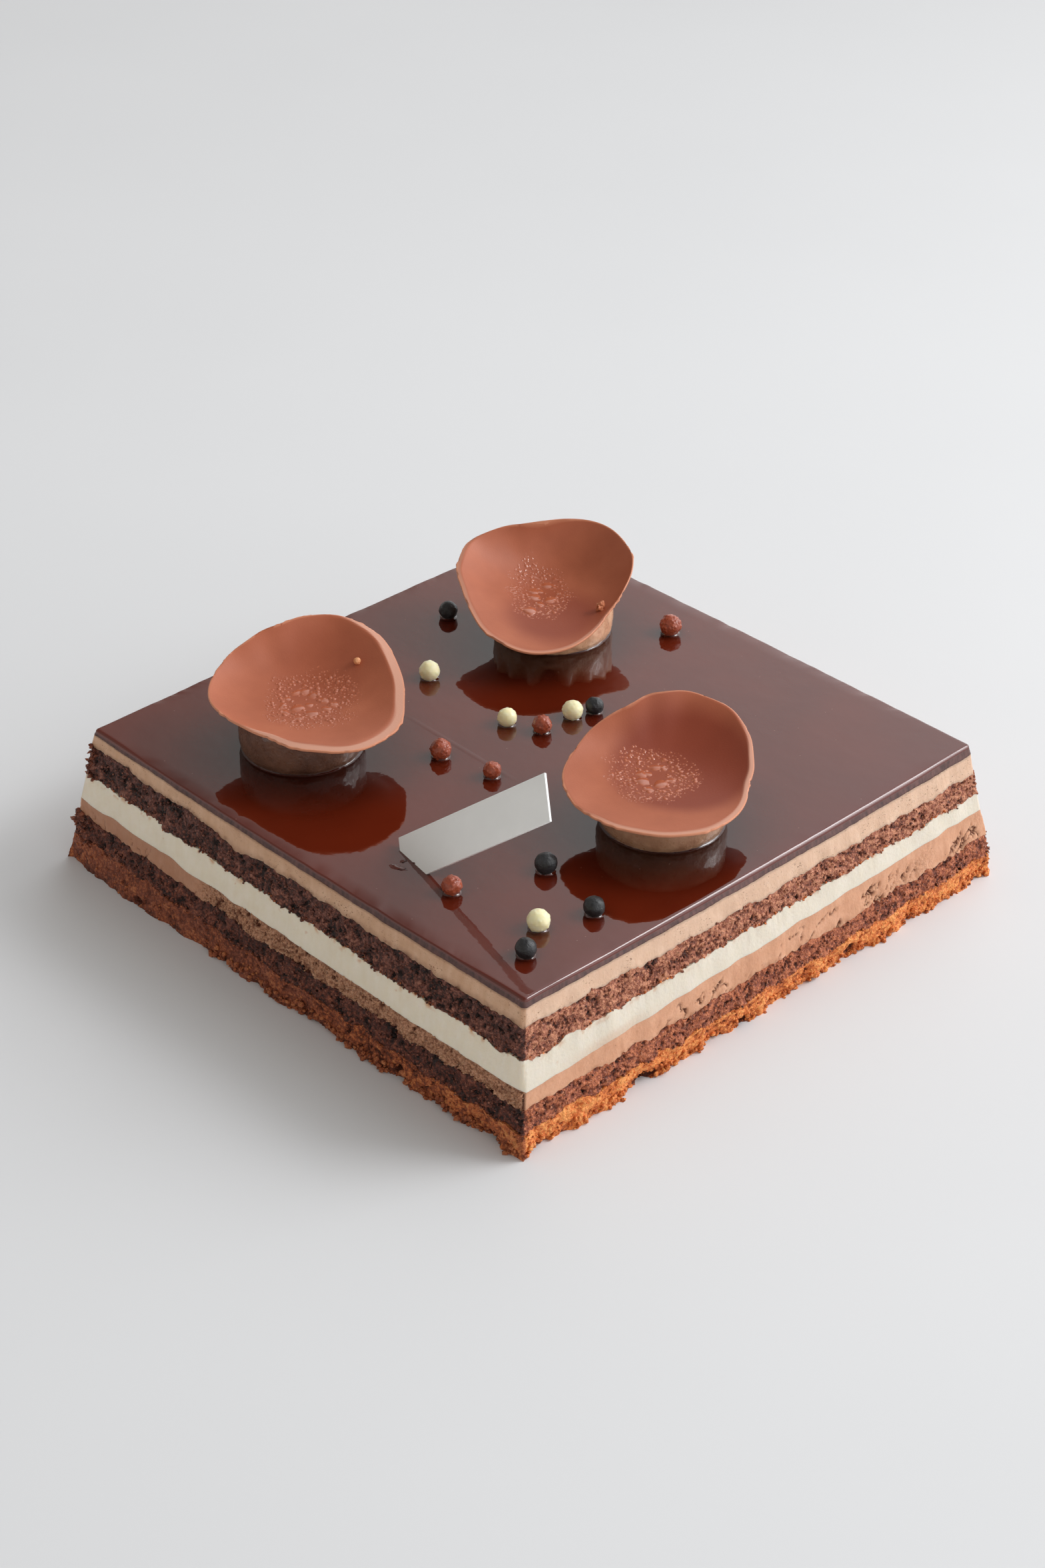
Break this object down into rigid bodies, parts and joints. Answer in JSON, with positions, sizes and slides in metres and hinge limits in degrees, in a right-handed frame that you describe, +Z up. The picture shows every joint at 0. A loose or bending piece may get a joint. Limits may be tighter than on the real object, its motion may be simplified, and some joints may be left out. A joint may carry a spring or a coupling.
{
  "type": "mousse cake",
  "caption": "Square layered chocolate mousse cake with craggy cut sides, a mirror glaze, dished chocolate petals on mousse pucks, scattered pearls and a bare card.",
  "frame": {"origin": "middle of the cake's underside", "axes": "+Z up from the underside to the glaze; the sides face X and Y, and the corner that the card leans towards is at +X, -Y"},
  "size_m": [0.1973, 0.1982, 0.0841],
  "materials": {
    "base_crunch": "coarse crumb",
    "sponge": "open crumb",
    "mousse_lower": "moist matte",
    "mousse_white": "moist matte",
    "mousse_upper": "moist matte",
    "glaze": "mirror gloss",
    "puck": "moist satin",
    "petal": "satin",
    "pearl_white": "satin",
    "pearl_milk": "satin",
    "pearl_dark": "satin",
    "card": "pearl satin"
  },
  "bodies": {
    "root": {"base_crunch": "base_crunch", "sponge_lower": "sponge", "mousse_lower": "mousse_lower", "mousse_white": "mousse_white", "sponge_upper": "sponge", "mousse_upper": "mousse_upper", "glaze": "glaze", "puck_1": "puck", "puck_2": "puck", "puck_3": "puck", "petal_1": "petal", "petal_2": "petal", "petal_3": "petal", "pearl_white_1": "pearl_white", "pearl_white_2": "pearl_white", "pearl_white_3": "pearl_white", "pearl_white_4": "pearl_white", "pearl_milk_1": "pearl_milk", "pearl_milk_2": "pearl_milk", "pearl_milk_3": "pearl_milk", "pearl_milk_4": "pearl_milk", "pearl_milk_5": "pearl_milk", "pearl_dark_1": "pearl_dark", "pearl_dark_2": "pearl_dark", "pearl_dark_3": "pearl_dark", "pearl_dark_4": "pearl_dark", "pearl_dark_5": "pearl_dark", "card": "card"}
  },
  "joints": []
}
